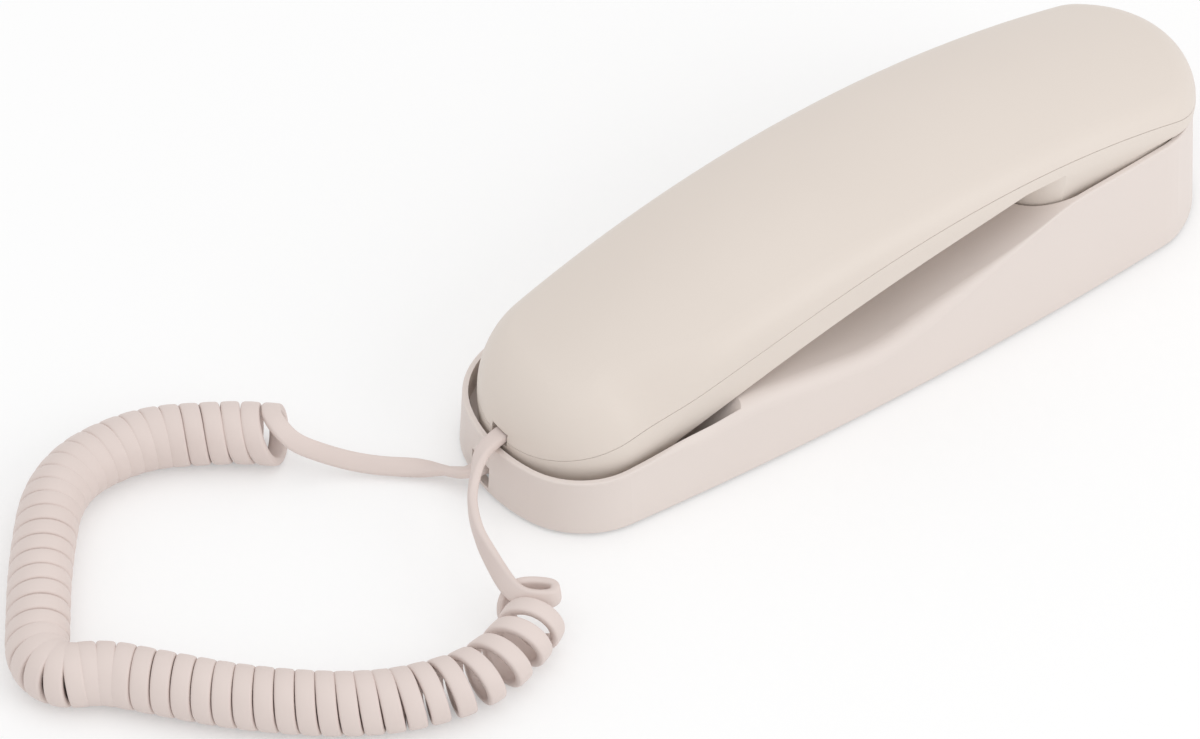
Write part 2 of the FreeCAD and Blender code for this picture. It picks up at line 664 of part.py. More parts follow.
def mouth_holes():
    top = mouth_cup_floor + size("handset_wall") + 0.5
    pitch = size("microphone_radius") / 2
    x = from_front("microphone_in")
    return [rod(size("mouth_hole_radius"), 0.0, top, x, step * pitch) for step in (-1, 0, 1)]


def key_places():
    """Name, row, column and length formula of every key, seen with the ear end up."""
    rows = [("1", "2", "3"), ("4", "5", "6"), ("7", "8", "9"), ("star", "0", "hash")]
    rows.append(("redial", "flash", "mute"))
    places = []
    for row, names in enumerate(rows):
        length = "function_key_length" if row == len(rows) - 1 else "key_length"
        for column, name in enumerate(names):
            places.append(("key_" + name, 2 - row, column - 1, length))
    return places


def handset_front_shell(outer, inner):
    wall = size("handset_wall")
    below = parting_side(size("parting_gap"), -SKY)
    cavity = inner.cut(jack_notch(size("notch_wall")))
    shell = outer.cut(cavity).common(below).cut(jack_notch(0.0))
    ring_in = size("receiver_radius") + size("receiver_gap")
    ring_top = ear_cup_floor + wall + size("receiver_ring_height")
    ahead = from_rear("receiver_in")
    ring = rod(ring_in + size("receiver_ring"), ear_cup_floor, ring_top, ahead, 0.0)
    ring = ring.cut(rod(ring_in, ear_cup_floor + wall, ring_top + 1.0, ahead, 0.0))
    shell = shell.fuse(ring)
    for x, y, floor in handset_screw_places():
        pillar = rod(size("pillar_radius"), floor, floor + size("handset_pillar"), x, y).common(outer)
        shell = shell.fuse(pillar)
    along = size("keypad_pcb_length") / 2 - size("post_inset")
    across = size("keypad_pcb_width") / 2 - size("post_inset")
    post_top = value(MAT_SEAT) + size("mat_thickness")
    for x in (along, -along):
        for y in (across, -across):
            post = rod(size("post_radius"), -wall, post_top, x, y)
            post.Placement = KEYPAD
            shell = shell.fuse(post.common(outer))
    for x, y, floor in handset_screw_places():
        sink = floor + size("screw_head") + size("handset_screw_sink")
        shell = shell.cut(rod(size("screw_head_radius") + size("screw_gap"), 0.0, sink, x, y))
        shell = shell.cut(rod(size("screw_radius") + size("screw_gap"), 0.0, SKY, x, y))
    for hole in ear_holes() + mouth_holes() + [cord_slot()]:
        shell = shell.cut(hole)
    gap = size("key_clearance")
    for name, row, column, length in key_places():
        half_along = size(length) / 2 + gap
        half_across = size("key_width") / 2 + gap
        x = row * size("key_pitch_along")
        y = column * size("key_pitch_across")
        hole = block(x - half_along, x + half_along, y - half_across, y + half_across, -2 * wall, 2 * wall)
        hole.Placement = KEYPAD
        shell = shell.cut(hole)
    return feature("handset_front_shell", shell.removeSplitter())


# Sketched bodies


def new_body(name):
    body = doc.addObject("PartDesign::Body", name)
    body.Label = name
    return body


def sketch_in(body, name, role):
    sketch = body.newObject("Sketcher::SketchObject", name)
    plane = [item for item in body.Origin.OriginFeatures if item.Role == role][0]
    sketch.AttachmentSupport = [(plane, "")]
    sketch.MapMode = "FlatFace"
    return sketch


def bound(sketch, kind, places, formula):
    """Add one dimension to a sketch and tie it to a formula."""
    index = sketch.addConstraint(Sketcher.Constraint(kind, *places, value(formula)))
    name = "size_%d" % index
    sketch.renameConstraint(index, name)
    bind(sketch, "Constraints." + name, formula)


def rectangle(sketch, length, width):
    """Rectangle about the sketch's origin."""
    along = value(length) / 2
    across = value(width) / 2
    corners = [Vector(-along, -across), Vector(along, -across), Vector(along, across), Vector(-along, across)]
    for corner, following in zip(corners, corners[1:] + corners[:1]):
        sketch.addGeometry(Part.LineSegment(corner, following), False)
    for line in range(4):
        sketch.addConstraint(Sketcher.Constraint("Coincident", line, 2, (line + 1) % 4, 1))
        sketch.addConstraint(Sketcher.Constraint("Vertical" if line % 2 else "Horizontal", line))
    sketch.addConstraint(Sketcher.Constraint("Symmetric", 0, 1, 2, 1, -1, 1))
    bound(sketch, "DistanceX", (0, 1, 0, 2), length)
    bound(sketch, "DistanceY", (1, 1, 1, 2), width)


def pad(body, name, sketch, length, downward=False):
    solid = body.newObject("PartDesign::Pad", name)
    solid.Profile = sketch
    bind(solid, "Length", length)
    solid.Reversed = downward
    doc.recompute()
    return solid


def round_edges(body, name, base, wanted, radius):
    """Fillet the edges of a feature that a test picks out."""
    names = ["Edge%d" % index for index, edge in enumerate(base.Shape.Edges, start=1) if wanted(edge)]
    rounding = body.newObject("PartDesign::Fillet", name)
    rounding.Base = (base, names)
    bind(rounding, "Radius", radius)
    doc.recompute()
    return rounding


def upright(edge):
    return edge.BoundBox.XLength + edge.BoundBox.YLength < 1e-6


def plate(name, length, width, thickness, corner):
    """Flat plate with rounded corners, sketched about its own middle."""
    body = new_body(name)
    sketch = sketch_in(body, name + "_outline", "XY_Plane")
    rectangle(sketch, length, width)
    solid = pad(body, name + "_pad", sketch, thickness)
    round_edges(body, name + "_corners", solid, upright, corner)
    return hand_in(body)


def turned(name, profile):
    """Body of revolution about Z from (radius, height) formulas, in order round the section."""
    body = new_body(name)
    sketch = sketch_in(body, name + "_section", "XZ_Plane")
    corners = [Vector(value(radius), value(height)) for radius, height in profile]
    for corner, following in zip(corners, corners[1:] + corners[:1]):
        sketch.addGeometry(Part.LineSegment(corner, following), False)
    count = len(profile)
    for line in range(count):
        sketch.addConstraint(Sketcher.Constraint("Coincident", line, 2, (line + 1) % count, 1))
    for line, (radius, height) in enumerate(profile):
        if radius == "0":
            sketch.addConstraint(Sketcher.Constraint("PointOnObject", line, 1, -2))
        else:
            bound(sketch, "DistanceX", (-1, 1, line, 1), radius)
        if height == "0":
            sketch.addConstraint(Sketcher.Constraint("PointOnObject", line, 1, -1))
        else:
            bound(sketch, "DistanceY", (-1, 1, line, 1), height)
    solid = body.newObject("PartDesign::Revolution", name + "_turn")
    solid.Profile = sketch
    solid.ReferenceAxis = (sketch, ["V_Axis"])
    solid.Angle = 360.0
    doc.recompute()
    return body


def box(name, length, width, height, x, y, z):
    """Block whose low corner is given by formulas."""
    solid = doc.addObject("Part::Box", name)
    for path, formula in (("Length", length), ("Width", width), ("Height", height)):
        bind(solid, path, formula)
    place(solid, x, y, z)
    return solid


def cut(name, base, tool):
    result = doc.addObject("Part::Cut", name)
    result.Base = base
    result.Tool = tool
    result.Label = name
    return result


def fuse(name, base, tool):
    result = doc.addObject("Part::Fuse", name)
    result.Base = base
    result.Tool = tool
    result.Label = name
    return result


def group(name, members):
    """Identical pieces that share one node, each its own solid."""
    result = doc.addObject("Part::Compound", name)
    result.Links = members
    result.Label = name
    return hand_in(result)


def negated(formula, sign):
    return formula if sign > 0 else "-(%s)" % formula


# Base fittings


def base_feet():
    feet = []
    for along in (-1, 1):
        for across in (-1, 1):
            foot = doc.addObject("Part::Cylinder", "foot_pad")
            bind(foot, "Radius", "foot_radius")
            bind(foot, "Height", "foot_proud + foot_depth")
            place(foot, negated(rear_place("foot_in"), along), negated("foot_across", across), "0")
            feet.append(foot)
    return group("base_feet", feet)


def screw(name, length):
    """Pan-head screw standing on its head's seat, shank up."""
    profile = [("0", "0"), ("screw_head_radius", "0"), ("screw_head_radius", "screw_head"),
               ("screw_radius", "screw_head"), ("screw_radius", "screw_head + " + length),
               ("0", "screw_head + " + length)]
    return turned(name, profile)


def base_screws():
    screws = []
    for spot in (front_place("base_screw_front"), rear_place("base_screw_rear")):
        for across in (-1, 1):
            item = screw("base_screw", "base_screw_length")
            place(item, spot, negated("base_screw_across", across), "foot_proud + screw_sink")
            screws.append(item)
    return group("base_screws", screws)


def base_pcb():
    length = "base_length - base_pcb_front - base_pcb_rear"
    board = plate("base_pcb", length, "base_pcb_width", "pcb_thickness", "post_radius / 2")
    place(board, "(base_pcb_front - base_pcb_rear) / 2", "0", PCB_BOTTOM)


def hook_plunger():
    foot = "%s + switch_height + hook_cap_gap" % PCB_TOP
    flange = "%s - hook_flange" % HOOK_FLANGE_TOP
    profile = [("0", foot), ("hook_pin_radius", foot), ("hook_pin_radius", flange),
               ("hook_flange_radius", flange), ("hook_flange_radius", HOOK_FLANGE_TOP),
               ("hook_radius", HOOK_FLANGE_TOP),
               ("hook_radius", HOOK_TOP + " - hook_flange / 2"), ("hook_radius - hook_flange / 2", HOOK_TOP),
               ("0", HOOK_TOP)]
    plunger = hand_in(turned("hook_plunger", profile))
    place(plunger, rear_place("hook_in"), "0", "0")


def hook_switch():
    switch = box("hook_switch", "switch_side", "switch_side", "switch_height",
                 rear_place("hook_in") + " - switch_side / 2", "-switch_side / 2", PCB_TOP)
    return hand_in(switch)


def ringer():
    profile = [("0", "0"), ("ringer_radius", "0"), ("ringer_radius", "ringer_height"),
               ("ringer_radius / 4", "ringer_height"), ("ringer_radius / 4", "ringer_height / 2"),
               ("0", "ringer_height / 2")]
    sounder = hand_in(turned("ringer", profile))
    place(sounder, "ringer_ahead", "0", PCB_TOP)


def line_jack():
    low = "%s + (line_jack_height - line_socket_height) / 2" % PCB_TOP
    body = box("line_jack_body", "line_jack_length", "line_jack_width", "line_jack_height",
               rear_place("base_pcb_rear") + " - line_jack_length", "-line_jack_width / 2", PCB_TOP)
    socket = box("line_jack_socket", "line_socket_depth", "line_socket_width", "line_socket_height",
                 rear_place("base_pcb_rear") + " - line_socket_depth", "-line_socket_width / 2", low)
    return hand_in(cut("line_jack", body, socket))


def cord_jack(name, front, side, floor):
    """Jack whose mouth faces the front."""
    body = box(name + "_body", "jack_length", JACK_WIDTH, JACK_HEIGHT,
               front, "%s - %s / 2" % (side, JACK_WIDTH), floor)
    room = box(name + "_room", "plug_length", PLUG_ROOM_WIDTH, PLUG_ROOM_HEIGHT,
               front, "%s - %s / 2" % (side, PLUG_ROOM_WIDTH), floor + " + jack_wall / 2")
    return hand_in(cut(name, body, room))


def cord_plug(name, face, side, floor):
    """Plug with its latch underneath; the cord leaves its front face."""
    low = "%s + jack_wall / 2 + plug_clearance" % floor
    body = box(name + "_body", "plug_length", "plug_width", "plug_height",
               face, side + " - plug_width / 2", low + " + latch_height")
    latch = box(name + "_latch", "plug_length * 0.8", "latch_width", "latch_height * 1.5",
                face + " + plug_length * 0.1", side + " - latch_width / 2", low)
    return hand_in(fuse(name, body, latch))


BASE_PLUG_FACE = "(%s - base_plug_recess)" % BASE_JACK_FRONT
HANDSET_PLUG_FACE = "(%s - jack_gap / 2)" % HANDSET_JACK_FRONT


def straight_lead(start, end):
    along = end - start
    return Part.makeCylinder(size("lead_radius"), along.Length, start, along)


def base_leads():
    level = value(PCB_BOTTOM) + size("pcb_thickness") / 2
    leads = []
    for step in (-1.5, -0.5, 0.5, 1.5):
        y = size("base_jack_side") + step * size("lead_pitch")
        start = Vector(base_jack_rear, y, level)
        leads.append(straight_lead(start, Vector(from_front("base_pcb_front"), y, level)))
    return feature("base_leads", Part.makeCompound(leads))


# Handset fittings


def handset_screws():
    screws = []
    spots = [(front_place("handset_screw_front"), "handset_screw_front_across", MOUTH_CUP_FLOOR),
             (rear_place("handset_screw_rear"), "handset_screw_rear_across", EAR_CUP_FLOOR)]
    for spot, aside, floor in spots:
        for across in (-1, 1):
            item = screw("handset_screw", "handset_screw_length")
            place(item, spot, negated(aside, across), floor + " + handset_screw_sink")
            screws.append(item)
    return group("handset_screws", screws)


def receiver():
    inner = "receiver_radius * 0.6"
    outer = "receiver_radius"
    rim = [(inner, "0"), (outer, "0"), (outer, "gasket_thickness"), (inner, "gasket_thickness")]
    gasket = hand_in(turned("receiver_gasket", rim))
    place(gasket, rear_place("receiver_in"), "0", EAR_CUP_FLOOR + " + handset_wall")
    capsule_profile = [("0", "receiver_height / 4"), (inner, "receiver_height / 4"), (inner, "0"),
                       (outer, "0"), (outer, "receiver_height / 2"), (inner, "receiver_height"),
                       ("0", "receiver_height")]
    capsule = hand_in(turned("receiver", capsule_profile))
    place(capsule, rear_place("receiver_in"), "0", EAR_CUP_FLOOR + " + handset_wall + gasket_thickness")


def microphone():
    outer = "microphone_radius + receiver_gap / 2 + boot_wall"
    inner = "microphone_radius + receiver_gap / 2"
    top = "boot_floor + microphone_height"
    hole = "microphone_radius * 0.6"
    profile = [(hole, "0"), (outer, "0"), (outer, top), (inner, top), (inner, "boot_floor"),
               (hole, "boot_floor")]
    boot = hand_in(turned("microphone_boot", profile))
    place(boot, front_place("microphone_in"), "0", MOUTH_CUP_FLOOR + " + handset_wall")
    can_profile = [("0", "0"), ("microphone_radius", "0"), ("microphone_radius", "microphone_height"),
                   ("0", "microphone_height")]
    can = hand_in(turned("microphone", can_profile))
    place(can, front_place("microphone_in"), "0", MOUTH_CUP_FLOOR + " + handset_wall + boot_floor")


def on_keypad(x, y, level):
    return KEYPAD.multiply(FreeCAD.Placement(Vector(x, y, level), FreeCAD.Rotation()))


def keypad_boards():
    mat = plate("keypad_mat", "mat_length", "mat_width", "mat_thickness", "key_round")
    mat.Placement = on_keypad(0.0, 0.0, value(MAT_SEAT))
    board = plate("keypad_pcb", "keypad_pcb_length", "keypad_pcb_width", "pcb_thickness", "key_round")
    board.Placement = on_keypad(0.0, 0.0, value(MAT_SEAT) + size("mat_thickness"))


def key(name, row, column, length):
    """Key cap that stands out of the grip, with a lip inside that keeps it in."""
    body = new_body(name)
    cap_sketch = sketch_in(body, name + "_cap", "XY_Plane")
    rectangle(cap_sketch, length, "key_width")
    cap = pad(body, name + "_cap_pad", cap_sketch, KEY_SEAT + " + key_proud", True)
    sides = round_edges(body, name + "_sides", cap, upright, "key_round")
    low = cap.Shape.BoundBox.ZMin
    round_edges(body, name + "_face", sides, lambda edge: edge.BoundBox.ZMax < low + 1e-6, "key_edge")
    lip_sketch = sketch_in(body, name + "_lip", "XY_Plane")
    rectangle(lip_sketch, length + " + 2 * key_lip", "key_width + 2 * key_lip")
    pad(body, name + "_lip_pad", lip_sketch, "key_flange")
    along = row * size("key_pitch_along")
    across = column * size("key_pitch_across")
    body.Placement = on_keypad(along, across, value(KEY_SEAT))
    return hand_in(body)


def handset_leads():
    """Leads from the keypad board to the jack, the microphone and the receiver."""
    level = value(MAT_SEAT) + size("mat_thickness") + size("pcb_thickness") / 2
    edge = size("keypad_pcb_length") / 2
    jack_rear = handset_jack_front + size("jack_length")
    leads = []
    for step in (-1.5, -0.5, 0.5, 1.5):
        y = step * size("lead_pitch")
        start = Vector(jack_rear, y, size("cord_out_height"))
        leads.append(straight_lead(start, on_keypad(-edge, y, level).Base))
    for sign in (-1, 1):
        y = sign * size("microphone_radius") * 0.8
        top = mouth_cup_floor + size("handset_wall") + size("boot_floor") + size("microphone_height")
        start = Vector(from_front("microphone_in"), y, top)
        leads.append(straight_lead(start, on_keypad(-edge, 2 * y, level).Base))
    for sign in (-1, 1):
        y = sign * size("lead_pitch")
        top = ear_cup_floor + size("handset_wall") + size("gasket_thickness") + size("receiver_height")
        start = on_keypad(edge, y, level).Base
        bend = from_rear("grip_end") + 4 * size("cup_round")
        corner = Vector(bend, y, size("parting_top") + size("handset_wall"))
        end = Vector(from_rear("receiver_in"), y, top)
        path = rounded_chain([start, corner, end], [size("receiver_radius")])
        leads.append(tube(path, 2 * size("lead_radius")))
    return feature("handset_leads", Part.makeCompound(leads))


# Tubes and turns


def tube(edges, diameter):
    """Round tube along edges that follow on smoothly."""
    path = Part.Wire(edges)
    first = edges[0]
    start = first.valueAt(first.FirstParameter)
    ring = Part.Wire(Part.Circle(start, first.tangentAt(first.FirstParameter), diameter / 2).toShape())
    shell = Part.BRepOffsetAPI.MakePipeShell(path)
    shell.add(ring)
    shell.build()
    shell.makeSolid()
    solid = shell.shape()
    expected = math.pi * diameter ** 2 / 4 * path.Length
    print("tube: length %.1f, volume over section times length %.4f" % (path.Length, solid.Volume / expected))
    return solid


def arc_leaving(start, heading, end):
    """Arc that leaves the start along the heading and reaches the end."""
    chord = end - start
    unit = chord / chord.Length
    aside = heading - unit * heading.dot(unit)
    if aside.Length < 1e-7:
        return Part.LineSegment(start, end).toShape()
    rise = chord.Length / 2 * math.tan(heading.getAngle(chord) / 2)
    return Part.Arc(start, start + chord / 2 + aside.normalize() * rise, end).toShape()


def biarc(start, heading, end, arrival):
    """Two arcs that join two points and keep both headings."""
    chord = end - start
    square = 2 * (heading.dot(arrival) - 1)
    linear = -2 * chord.dot(heading + arrival)
    constant = chord.dot(chord)
    if abs(square) < 1e-9:
        reach = -constant / linear
    else:
        reach = (-linear - math.sqrt(linear * linear - 4 * square * constant)) / (2 * square)
    middle = (start + heading * reach + end - arrival * reach) / 2
    first = arc_leaving(start, heading, middle)
    last = arc_leaving(end, arrival * -1, middle)
    bend = last.valueAt((last.FirstParameter + last.LastParameter) / 2)
    return [first, Part.Arc(middle, bend, end).toShape()]


def route_edges(points):
    """Cord route: straight runs, and at each point the largest arc that its two runs allow."""
    radii = []
    for before, corner, after in zip(points, points[1:], points[2:]):
        turn = (corner - before).getAngle(after - corner)
        shorter = min((corner - before).Length, (after - corner).Length)
        radii.append(0.45 * shorter / math.tan(turn / 2))
    print("route radii: " + ", ".join("%.1f" % radius for radius in radii))
    return rounded_chain(points, radii)


class Axis:
    """A route that can be read by distance, with a frame carried along it without twisting."""

    def __init__(self, edges, step):
        self.step = step
        wire = Part.Wire(edges)
        self.length = wire.Length
        count = int(math.ceil(self.length / step))
        self.places = []
        self.frames = []
        ends = []
        total = 0.0
        for edge in edges:
            ends.append((total, edge))
            total += edge.Length
        normal = Vector(0, 0, 1)
        for index in range(count + 1):
            distance = min(index * step, self.length - 1e-6)
            start, edge = [item for item in ends if item[0] <= distance][-1]
            parameter = edge.getParameterByLength(distance - start)
            heading = edge.tangentAt(parameter)
            normal = (normal - heading * normal.dot(heading)).normalize()
            self.places.append(edge.valueAt(parameter))
            self.frames.append((heading, normal, heading.cross(normal)))

    def bend(self, index):
        """Curvature, averaged over the width of a few turns."""
        reach = int(5.0 / self.step)
        low = max(index - reach, 0)
        high = min(index + reach, len(self.places) - 1)
        return self.frames[low][0].getAngle(self.frames[high][0]) / ((high - low) * self.step)


def ease(share):
    share = min(max(share, 0.0), 1.0)
    return share * share * (3 - 2 * share)


def winding(axis, radius, turns, diameter, gap, lead, floor):
    """Points of a right-hand winding about an axis that opens out on bends and straightens at its ends.

    The axis is lifted wherever a turn would reach below the floor.
    """
    count = len(axis.places)
    pace = []
    widths = []
    nominal = axis.length / turns
    for index in range(count):
        from_end = min(index, count - 1 - index) * axis.step
        eased = ease(from_end / lead)
        room = (diameter + gap) / max(1 - radius * axis.bend(index), 0.25)
        pace.append(eased / max(nominal, room))
        widths.append(radius * eased)
    scale = turns / (sum(pace) * axis.step)
    points = []
    angle = 0.0
    for index in range(count):
        heading, normal, side = axis.frames[index]
        offset = normal * math.cos(angle) + side * math.sin(angle)
        lift = max(floor + widths[index] - axis.places[index].z, 0.0)
        points.append(axis.places[index] + Vector(0, 0, lift) + offset * widths[index])
        angle += 2 * math.pi * pace[index] * scale * axis.step
    return points


def winding_edges(points, end_run):
    """Biarcs of about a quarter turn through closely spaced points, with a short straight run at each end."""
    headings = [(points[1] - points[0]).normalize()]
    for before, after in zip(points, points[2:]):
        headings.append((after - before).normalize())
    headings.append((points[-1] - points[-2]).normalize())
    knots = [0]
    turned_by = 0.0
    for index in range(1, len(points)):
        turned_by += headings[index].getAngle(headings[index - 1])
        if turned_by >= math.pi / 2:
            knots.append(index)
            turned_by = 0.0
    if turned_by < math.pi / 6:
        knots.pop()
    knots.append(len(points) - 1)
    edges = [Part.LineSegment(points[0] - headings[0] * end_run, points[0]).toShape()]
    for first, last in zip(knots, knots[1:]):
        edges += biarc(points[first], headings[first], points[last], headings[last])
    edges.append(Part.LineSegment(points[-1], points[-1] + headings[-1] * end_run).toShape())
    return edges


def least_gap(edges, diameter):
    """Least clear distance of a wound tube to itself, measured on points along its middle."""
    spacing = diameter / 4
    points = []
    for edge in edges:
        points += edge.discretize(max(int(edge.Length / spacing), 2))[1:]
    places = [(point.x, point.y, point.z) for point in points]
    apart = int(2.5 * diameter / spacing)
    least = float("inf")
    for index, (x, y, z) in enumerate(places):
        for other_x, other_y, other_z in places[index + apart:index + apart * 40]:
            span = (x - other_x) ** 2 + (y - other_y) ** 2 + (z - other_z) ** 2
            least = min(least, span)
    return math.sqrt(least) - diameter


def hook_spring():
    wire = size("spring_wire")
    low = pcb_top + wire / 2 + 0.05
    high = value(HOOK_FLANGE_TOP) - size("hook_flange") - wire / 2 - 0.05
    turns = size("spring_turns")
    steps = int(turns * 36)
    points = []
    for step in range(steps + 1):
        angle = 2 * math.pi * turns * step / steps
        height = low + (high - low) * step / steps
        x = from_rear("hook_in") + size("spring_radius") * math.cos(angle)
        points.append(Vector(x, size("spring_radius") * math.sin(angle), height))
    edges = winding_edges(points, wire)
    print("spring: least gap to itself %.2f" % least_gap(edges, wire))
    return feature("hook_spring", tube(edges, wire))


# Coiled cord, lying on the table in front of the base


COIL_LEVEL = size("coil_radius") + size("cord_diameter") / 2 + size("cord_lift")
TABLE_LEVEL = size("cord_diameter") / 2 + size("cord_lift")


def ahead_of_base(out, side, level):
    """A place over the table, measured out from the front end of the base."""
    return Vector(-size("base_length") / 2 - out, side, level)


COIL_ROUTE = [
    ahead_of_base(18.5, 26.0, TABLE_LEVEL),
    ahead_of_base(31.5, 38.5, TABLE_LEVEL),
    ahead_of_base(41.5, 48.5, COIL_LEVEL),
    ahead_of_base(60.5, 59.0, COIL_LEVEL),
    ahead_of_base(84.0, 57.0, COIL_LEVEL),
    ahead_of_base(101.5, 36.0, COIL_LEVEL),
    ahead_of_base(113.5, 17.5, COIL_LEVEL),
    ahead_of_base(112.8, 4.5, COIL_LEVEL),
    ahead_of_base(100.5, -8.5, COIL_LEVEL),
    ahead_of_base(84.5, -26.5, COIL_LEVEL),
    ahead_of_base(63.5, -43.0, COIL_LEVEL),
    ahead_of_base(42.5, -48.8, COIL_LEVEL),
    ahead_of_base(28.5, -48.6, COIL_LEVEL),
    ahead_of_base(18.5, -44.5, 9.0),
    ahead_of_base(15.0, -33.0, 10.5),
]


def coiled_cord():
    diameter = size("cord_diameter")
    axis = Axis(route_edges(COIL_ROUTE), 0.1)
    lead = size("coil_lead")
    turns = size("coil_turns")
    points = winding(axis, size("coil_radius"), turns, diameter, size("coil_gap"), lead, TABLE_LEVEL)
    edges = winding_edges(points, diameter)
    print("coil: least gap to itself %.2f" % least_gap(edges, diameter))
    feature("curly_cord", tube(edges, diameter))
    return edges


def cord_tails(coil_edges):
    diameter = size("cord_diameter")
    first = coil_edges[0]
    last = coil_edges[-1]
    base_end = first.valueAt(first.FirstParameter)
    base_heading = first.tangentAt(first.FirstParameter)
    handset_end = last.valueAt(last.LastParameter)
    handset_heading = last.tangentAt(last.LastParameter)
    plug_low = size("base_jack_floor") + size("jack_wall") / 2 + size("plug_clearance") + size("latch_height")
    base_exit = Vector(value(BASE_PLUG_FACE), size("base_jack_side"), plug_low + size("plug_height") / 2)
    base_route = [
        base_exit,
        base_exit + Vector(-5.0, 0.0, 0.0),
        ahead_of_base(7.5, 11.5, 2.4),
        base_end - base_heading * 6.0,
        base_end,
    ]
    feature("cord_tail_base", tube(route_edges(base_route), diameter))
    handset_exit = Vector(value(HANDSET_PLUG_FACE), 0.0, size("cord_out_height"))
    handset_route = [
        handset_exit,
        handset_exit + Vector(-9.0, 0.0, 0.0),
        ahead_of_base(8.0, -5.0, 16.0),
        ahead_of_base(14.0, -13.5, 12.5),
        handset_end + handset_heading * 8.0,
        handset_end,
    ]
    feature("cord_tail_handset", tube(route_edges(handset_route), diameter))


def check_and_write():
    doc.recompute()
    for obj in doc.Objects:
        if "Invalid" in obj.State or "Error" in obj.State:
            raise RuntimeError("%s did not rebuild" % obj.Label)
    for part in PARTS:
        if part.Shape.isNull() or not part.Shape.isValid():
            raise RuntimeError("%s has no sound shape" % part.Label)
    os.makedirs("parts", exist_ok=True)
    for part in PARTS:
        part.Shape.exportStep("parts/%s.step" % part.Label)
        print(part.Label, len(part.Shape.Solids), round(part.Shape.Volume, 1))


base_housing()
base_bottom_cover()
base_feet()
base_screws()
base_pcb()
hook_plunger()
hook_spring()
hook_switch()
ringer()
line_jack()
cord_jack("handset_jack_base", BASE_JACK_FRONT, "base_jack_side", "base_jack_floor")
cord_plug("cord_plug_base", BASE_PLUG_FACE, "base_jack_side", "base_jack_floor")
base_leads()
handset_outer = handset_block(0.0)
handset_inner = handset_block(size("handset_wall"))
handset_back_shell(handset_outer, handset_inner)
handset_front_shell(handset_outer, handset_inner)
handset_screws()
receiver()
microphone()
keypad_boards()
for key_name, key_row, key_column, key_length in key_places():
    key(key_name, key_row, key_column, key_length)
cord_jack("handset_jack", HANDSET_JACK_FRONT, "0", HANDSET_JACK_FLOOR)
cord_plug("cord_plug_handset", HANDSET_PLUG_FACE, "0", HANDSET_JACK_FLOOR)
handset_leads()
cord_tails(coiled_cord())
check_and_write()
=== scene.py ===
import math

import bpy
import numpy as np
from mathutils import Matrix, Vector


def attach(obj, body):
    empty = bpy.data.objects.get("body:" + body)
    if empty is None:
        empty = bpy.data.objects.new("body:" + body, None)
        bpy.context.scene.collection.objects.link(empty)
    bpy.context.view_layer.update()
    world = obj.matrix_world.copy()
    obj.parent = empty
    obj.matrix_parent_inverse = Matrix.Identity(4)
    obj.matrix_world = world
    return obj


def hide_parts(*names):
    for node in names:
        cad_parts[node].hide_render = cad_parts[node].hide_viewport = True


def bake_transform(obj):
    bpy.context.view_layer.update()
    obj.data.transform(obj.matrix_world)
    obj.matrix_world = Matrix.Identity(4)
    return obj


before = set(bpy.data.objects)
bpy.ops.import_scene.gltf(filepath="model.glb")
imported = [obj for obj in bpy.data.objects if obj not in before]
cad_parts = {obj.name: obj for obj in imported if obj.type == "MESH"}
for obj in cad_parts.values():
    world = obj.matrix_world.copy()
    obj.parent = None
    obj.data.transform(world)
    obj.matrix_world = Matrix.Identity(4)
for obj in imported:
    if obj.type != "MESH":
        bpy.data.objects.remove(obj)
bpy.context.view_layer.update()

MM = 0.001

# The handset cord is a flat ribbon wound into a coil, with a plain tail at each end. Lengths in metres.
CORD_WIDTH = 0.0046
CORD_THICKNESS = 0.0023
CORD_SIDES = 16
CORD_ACROSS_POWER = 0.42
CORD_THROUGH_POWER = 0.6
COIL_RADIUS = 0.00635
COIL_PITCH = 0.00482
COIL_LOOSE_PITCH = 0.0072
# Turns close up where the axis bends, by this share of radius times bend.
COIL_BEND_CLOSING = 0.76
# Before the handset's end the turns loosen over a length, and the very last ones close again.
LOOSE_FROM = 0.045
LOOSE_OVER = 0.03
CLOSE_FROM = 0.003
CLOSE_OVER = 0.0015
CLOSE_SHARE = 1.5
# The first turns lean towards the base at their underside, less with each turn.
COIL_END_LEAN = 0.0042
COIL_LEAN_TURNS = 3
# The winding starts slowly, so that the base's tail runs into it at a slant.
COIL_LEAD = 0.002
COIL_FIRST_PACE = 0.2
# Spacing of the points along the coil's axis, the wound ribbon and the tails.
AXIS_STEP = 0.0001
COIL_STEP = 0.0009
TAIL_STEP = 0.0004
# The axis's bend is averaged over this many axis points on each side.
BEND_REACH = 30
SPLINE_STEPS = 40
# Length of the tails' straight joints with the coil, in millimetres.
COIL_JOINT_BASE = 2.5
COIL_JOINT_HANDSET = 3.0
# Length of cord, from the handset back, for which a rising share is worked out, eased in over the second
# length; the share is not stored or used, and the cord does not move with the handset.
RISE_LENGTH = 0.42
RISE_OVER = 0.40
# Angles of the winding, measured from straight up.
COIL_START_ANGLE = math.radians(355)
COIL_END_ANGLE = math.radians(215)
# Places on the cord's route are in millimetres.
COIL_LEVEL = 7.7
BASE_EXIT = (-100.1, 4.0, 5.6)
HANDSET_EXIT = (-95.33, 0.0, 18.4)

